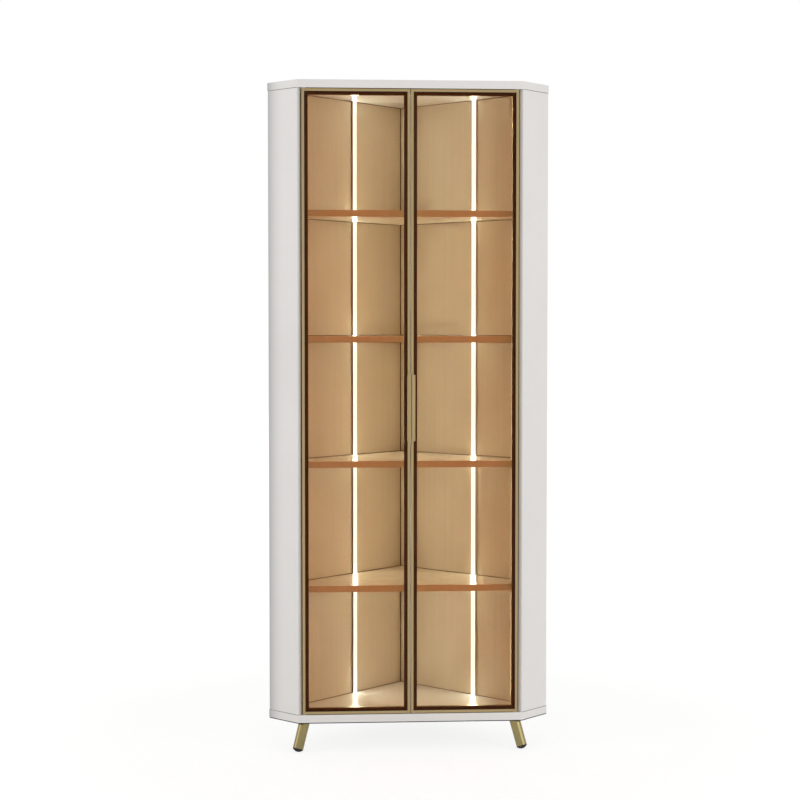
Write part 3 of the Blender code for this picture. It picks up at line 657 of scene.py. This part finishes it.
# %% [markdown]
# Inside, a hair of air is left wherever a board or a shelf meets the back panels, and it shows as
# a fine dark line. A thin brown strip fills it as painted shade: a dark piece set where there is
# only the shade of that gap. Each strip is a little taller than the shelf and stops short of
# the wall light and of the shelf's rear pin. It is drawn as a row of flat bars in one piece.

# %% Painted shade strips behind the shelves
WALL_FACE = 0.0270
WALL_START = 0.0301
WALL_END = 0.5845
STRIP_AIR = 0.0001
STRIP_THICKNESS = 0.0008
STRIP_PROUD = 0.0014
LIGHT_GAP = 0.0092
PIN_GAP = 0.0035


def along_wall(side, along, out):
    """A point in plan, so far along a wall from the room's corner and so far out from it."""
    half = math.sqrt(0.5)
    return (side * (along - out) * half, REAR_Y - (along + out) * half)


def distance_along(name, side):
    """How far along its wall the middle of a solid lies."""
    low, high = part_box(name)
    across = side * (low[0] + high[0]) / 2
    deep = REAR_Y - (low[1] + high[1]) / 2
    return (across + deep) * math.sqrt(0.5)


def bars(side, spans, bottom, top):
    """Points and faces of bars along a wall, closed on all six sides."""
    points = []
    faces = []
    for start, end in spans:
        rings = []
        for along in (start, end):
            near = along_wall(side, along, WALL_FACE + STRIP_AIR)
            far = along_wall(side, along, WALL_FACE + STRIP_AIR + STRIP_THICKNESS)
            rings.append([(*near, bottom), (*far, bottom), (*far, top), (*near, top)])
        bar_points, bar_faces = stack(rings)
        faces += [tuple(corner + len(points) for corner in face) for face in bar_faces]
        points += bar_points
    return points, faces


levels = {"floor": (FLOOR_LEVEL + STRIP_AIR, FLOOR_LEVEL + STRIP_PROUD),
          "ceiling": (CEILING_LEVEL - STRIP_PROUD, CEILING_LEVEL - STRIP_AIR)}
for number in range(1, 5):
    low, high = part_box(f"shelf_{number}")
    levels[f"shelf_{number}"] = (low[2] - STRIP_PROUD, high[2] + STRIP_PROUD)

pin = distance_along("shelf_1_rear_pin", SIDES["right"])
for label, side in SIDES.items():
    light = distance_along(f"{label}_light_channel", side)
    for level, (bottom, top) in levels.items():
        stops = [WALL_START, light - LIGHT_GAP, light + LIGHT_GAP, WALL_END]
        if label == "right" and level.startswith("shelf"):
            stops[1:1] = [pin - PIN_GAP, pin + PIN_GAP]
        spans = list(zip(stops[0::2], stops[1::2]))
        # Painted shade: a dark strip along the gap between a back panel and a shelf, the floor or the
        # ceiling.
        place(f"{label}_{level}_painted_shade_strip", *bars(side, spans, bottom, top), "carcass", *BROWN_RUBBER)
    print(label, "light is", round(1000 * light), "mm along its wall; painted_shade_strip strips:", len(levels))

# %% [markdown]
# Where each pane meets the gold frame, a thin bead of dark sealant closes the joint. It is drawn
# as a half round that runs along the four lips and turns each corner on a mitre: one outline is
# copied to the four corners, and the walls between them are closed.

# %% Sealant round the panes
LIP = 0.0080
BEAD = 0.0009
BEAD_ROUND = [(0.0, 0.0), (0.0, -0.00025), (0.00022, -0.00042), (0.00045, -0.00048),
              (0.00068, -0.00042), (BEAD, -0.00025), (BEAD, 0.0)]

for label in SIDES:
    pane_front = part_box(f"{label}_door_glass")[0][1]
    stiles = sorted(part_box(f"{label}_door_{part}")[end][0]
                    for part in ("hinge_stile", "meeting_stile") for end in (0, 1))
    rails = sorted(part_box(f"{label}_door_{part}")[end][2]
                   for part in ("bottom_rail", "top_rail") for end in (0, 1))
    lip_low = (stiles[0] + LIP, rails[0] + LIP)
    lip_high = (stiles[-1] - LIP, rails[-1] - LIP)
    corners = [(lip_low[0], lip_low[1], 1, 1), (lip_high[0], lip_low[1], -1, 1),
               (lip_high[0], lip_high[1], -1, -1), (lip_low[0], lip_high[1], 1, -1)]
    rings = [[(x + right * inward, pane_front + out, z + up * inward) for inward, out in BEAD_ROUND]
             for x, z, right, up in corners]
    faces = walls_between(rings + [rings[0]])
    count = len(BEAD_ROUND)
    faces = [tuple(corner % (4 * count) for corner in face) for face in faces]
    points = [point for ring in rings for point in ring]
    place(f"{label}_pane_sealant", points, faces, f"{label}_door", *BLACK_RUBBER)
    print(label, "pane shows", [round(1000 * (b - a), 1) for a, b in zip(lip_low, lip_high)], "mm")

# %% [markdown]
# The screws have a low countersunk head with a cross. Every ring of a head has 24 points at the
# same angles, picked so that the cross's own corners are among them. The rings climb the dome,
# drop down the walls of the cross and close in its floor. The cross's size and its depth are
# shares of the head's radius, and each ring of the dome has its share of the radius and height.

# %% Screws
CROSS_ARM = 0.62
CROSS_HALF_WIDTH = 0.15
HEAD_ROOT = 0.0004
DOME = [(1.00, 0.15), (0.90, 0.55), (0.76, 0.90)]
CROSS_WALL = [(1.00, 0.00), (0.94, 0.45), (0.02, 0.60)]


def cross_angles(arm, half_width):
    """Six angles to the quarter turn, the cross's own corners among them."""
    corner = math.atan2(half_width, arm)
    middle = (corner + math.pi / 4) / 2
    quarter = [0.0, corner, middle, math.pi / 4, math.pi / 2 - middle, math.pi / 2 - corner]
    return [turn * math.pi / 2 + angle for turn in range(4) for angle in quarter]


def cross_reach(angle, arm, half_width):
    """How far the cross reaches from the middle at that angle."""
    across = abs(math.cos(angle))
    along = abs(math.sin(angle))
    longer = max(across, along)
    shorter = min(across, along)
    return min(arm / longer, half_width / max(shorter, 1e-6))


def place_screw(name, centre, facing, radius, height, body):
    """A cross-head screw whose head stands height proud of the face at centre."""
    arm = CROSS_ARM * radius
    half_width = CROSS_HALF_WIDTH * radius
    angles = cross_angles(arm, half_width)
    outer = [(radius, -HEAD_ROOT)] + [(share * radius, up * height) for share, up in DOME]
    rings = [[(size * math.cos(a), size * math.sin(a), up) for a in angles] for size, up in outer]
    for share, depth in CROSS_WALL:
        reaches = [share * cross_reach(a, arm, half_width) for a in angles]
        rings.append([(reach * math.cos(a), reach * math.sin(a), height - depth * radius)
                      for reach, a in zip(reaches, angles)])
    turn = Vector((0, 0, 1)).rotation_difference(Vector(facing)).to_matrix()
    points, faces = stack(rings)
    points = [turn @ Vector(point) + Vector(centre) for point in points]
    place(name, points, faces, body, *STEEL, smooth=range(len(angles), len(outer) * len(angles)))


UP, DOWN, BACKWARD = (0, 0, 1), (0, 0, -1), (0, 1, 0)
PIVOT_SCREW = {"radius": 0.0021, "height": 0.0003}
STRIKE_SCREW = {"radius": 0.0019, "height": 0.0001}
CATCH_SCREW = {"radius": 0.0019, "height": 0.0008}
HANDLE_SCREW = {"radius": 0.0034, "height": 0.0014}
HINGE_AXIS_X = 0.31677
PIVOT_SCREWS_Y = (-0.2250, -0.2100)
STRIKE_PLATE_X = 0.01025
STRIKE_SCREW_PLACE = (STRIKE_PLATE_X, -0.21962, 1.9611)
CATCH_SCREW_PLACE = (0.0150, -0.2123, 1.9627)
HANDLE_SCREWS_PLACE = (0.0065, -0.22112)
HANDLE_SCREWS_Z = (0.9515, 1.1115)


def mirrored(side, place_on_right):
    """The place on the cabinet's right, or its mirror image on the left."""
    return (side * place_on_right[0], *place_on_right[1:])


for label, side in SIDES.items():
    for board, face, facing in (("top", CEILING_LEVEL, DOWN), ("bottom", FLOOR_LEVEL, UP)):
        for number, y in enumerate(PIVOT_SCREWS_Y, 1):
            place_screw(f"{label}_{board}_pivot_screw_{number}", (side * HINGE_AXIS_X, y, face),
                        facing, body="carcass", **PIVOT_SCREW)
    place_screw(f"{label}_strike_plate_screw", mirrored(side, STRIKE_SCREW_PLACE), BACKWARD,
                body=f"{label}_door", **STRIKE_SCREW)
    for number, z in enumerate(HANDLE_SCREWS_Z, 1):
        place_screw(f"{label}_handle_screw_{number}", mirrored(side, (*HANDLE_SCREWS_PLACE, z)),
                    BACKWARD, body=f"{label}_door", **HANDLE_SCREW)
    place_screw(f"catch_screw_{label}", mirrored(side, CATCH_SCREW_PLACE), DOWN,
                body="carcass", **CATCH_SCREW)

# %% [markdown]
# Two more small metal things belong to bought parts: the thin pole plates on the face of the
# magnetic catch, which the strike plates touch, and the contact pin inside the power socket.

# %% Pole plates and contact pin
def rounded_plate(half_width, half_height, corner, steps=4):
    """The outline of a flat plate with round corners."""
    outline = []
    for quarter, (across, up) in enumerate(((1, 1), (-1, 1), (-1, -1), (1, -1))):
        for step in range(steps + 1):
            angle = math.pi / 2 * (quarter + step / steps)
            outline.append((across * (half_width - corner) + corner * math.cos(angle),
                            up * (half_height - corner) + corner * math.sin(angle)))
    return outline


POLE_PLATE = rounded_plate(0.0062, 0.0012, 0.0005)
POLE_PLATES_Z = (1.9662, 1.9722)
POLE_PLATE_FACES = (-0.2190, -0.21941)

for label, side in SIDES.items():
    for number, z in enumerate(POLE_PLATES_Z, 1):
        ends = [[(side * STRIKE_PLATE_X + x, y, z + up) for x, up in POLE_PLATE]
                for y in POLE_PLATE_FACES]
        pull(f"{label}_pole_plate_{number}", *ends, "carcass", *STEEL)

CONTACT_PIN = [(0.0008, 0.1002), (0.0008, 0.0881), (0.0006, 0.0877), (0.0003, 0.0875)]
PIN_STEPS = 18
middle = [(low + high) / 2 for low, high in zip(*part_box("power_socket"))]
turns = [2 * math.pi * step / PIN_STEPS for step in range(PIN_STEPS)]
rings = [[(middle[0] + radius * math.cos(turn), middle[1] + radius * math.sin(turn), z)
          for turn in turns] for radius, z in CONTACT_PIN]
place("socket_contact_pin", *stack(rings), "carcass", *STEEL)
print("pole plates: 4, contact pin at", [round(1000 * value, 1) for value in middle[:2]])

# %% [markdown]
# The studio is a wide pale floor, an even white surround and three large soft lamps. The
# surround lights the cabinet at a middling level, but rays that come straight from the camera,
# or that reach it by a mirror or through glass, see it as plain white. The floor does the same by
# three quarters near the cabinet and wholly further off, so that it meets the white without an
# edge and still shows a soft shadow.

# %% Surround
AMBIENT = 0.75

world = bpy.data.worlds.new("surround")
world.use_nodes = True
bpy.context.scene.world = world
sky = world.node_tree
soft = sky.nodes["Background"]
soft.inputs["Color"].default_value = (1.0, 0.995, 0.985, 1.0)
soft.inputs["Strength"].default_value = AMBIENT
plain = add(sky, "ShaderNodeBackground", [("Color", (1, 1, 1, 1)), ("Strength", 1.0)]).outputs[0]
rays = add(sky, "ShaderNodeLightPath").outputs
shown = soft.outputs[0]
for switch in ("Is Glossy Ray", "Is Transmission Ray", "Is Camera Ray"):
    shown = choose(sky, rays[switch], shown, plain)
sky.links.new(shown, sky.nodes["World Output"].inputs["Surface"])
print("surround at", AMBIENT)

# %% Floor
FLOOR_HALF = 20.0
WHITE_SHARE_NEAR = 0.75
WHITE_FROM = 0.9
WHITE_TO = 2.4
WHITE_GLOW = 1.08


def make_floor_finish():
    finish, tree, shader = start_finish("pale_studio_floor")
    cloud = noise(tree, 2.0)
    pale = mix_colours(tree, spread(tree, cloud, 0, 1), paint(236, 235, 233), paint(238, 237, 236))
    connect(tree, shader, Base_Color=pale, Roughness=spread(tree, noise(tree, 30.0), 0.70, 0.80))
    shader.inputs["Specular IOR Level"].default_value = 0.2
    white = add(tree, "ShaderNodeEmission", [("Color", (1, 1, 1, 1)), ("Strength", WHITE_GLOW)])
    place = add(tree, "ShaderNodeTexCoord")
    away = add(tree, "ShaderNodeVectorMath", [(0, place.outputs["Object"])], operation="LENGTH")
    share = spread(tree, away.outputs["Value"], WHITE_SHARE_NEAR, 1.0, start=WHITE_FROM, end=WHITE_TO)
    blend = choose(tree, share, shader.outputs[0], white.outputs[0])
    rays = add(tree, "ShaderNodeLightPath").outputs
    shown = shader.outputs[0]
    for switch in ("Is Glossy Ray", "Is Transmission Ray", "Is Camera Ray"):
        shown = choose(tree, rays[switch], shown, blend)
    tree.links.new(shown, tree.nodes["Material Output"].inputs["Surface"])
    return finish


def make_floor():
    sheet = bpy.data.meshes.new("studio_floor")
    corners = [(x * FLOOR_HALF, y * FLOOR_HALF, 0) for x, y in ((-1, -1), (1, -1), (1, 1), (-1, 1))]
    sheet.from_pydata(corners, [], [(0, 1, 2, 3)])
    floor = bpy.data.objects.new("studio_floor", sheet)
    bpy.context.scene.collection.objects.link(floor)
    floor.data.materials.append(make_floor_finish())
    return floor


floor = make_floor()
print("floor", 2 * FLOOR_HALF, "m square")

# %% Lamps
LAMPS = {
    "key_lamp": ((-5.0, -1.5, 2.6), 2.6, 36.0),
    "fill_lamp": ((4.0, -3.4, 2.4), 2.6, 40.0),
    "top_lamp": ((0.0, -0.8, 4.6), 2.4, 10.0),
}
AIM = Vector((0.0, -0.1, 1.0))

for name, (spot, size, power) in LAMPS.items():
    light = bpy.data.lights.new(name, "AREA")
    light.shape = "SQUARE"
    light.size = size
    light.energy = power
    lamp = bpy.data.objects.new(name, light)
    lamp.location = spot
    lamp.rotation_euler = (AIM - Vector(spot)).to_track_quat("-Z", "Y").to_euler()
    bpy.context.scene.collection.objects.link(lamp)
    print(name, power, "W from", spot)

# %% Colours as written
view = bpy.context.scene.view_settings
view.view_transform = "Standard"
print("view transform:", view.view_transform)
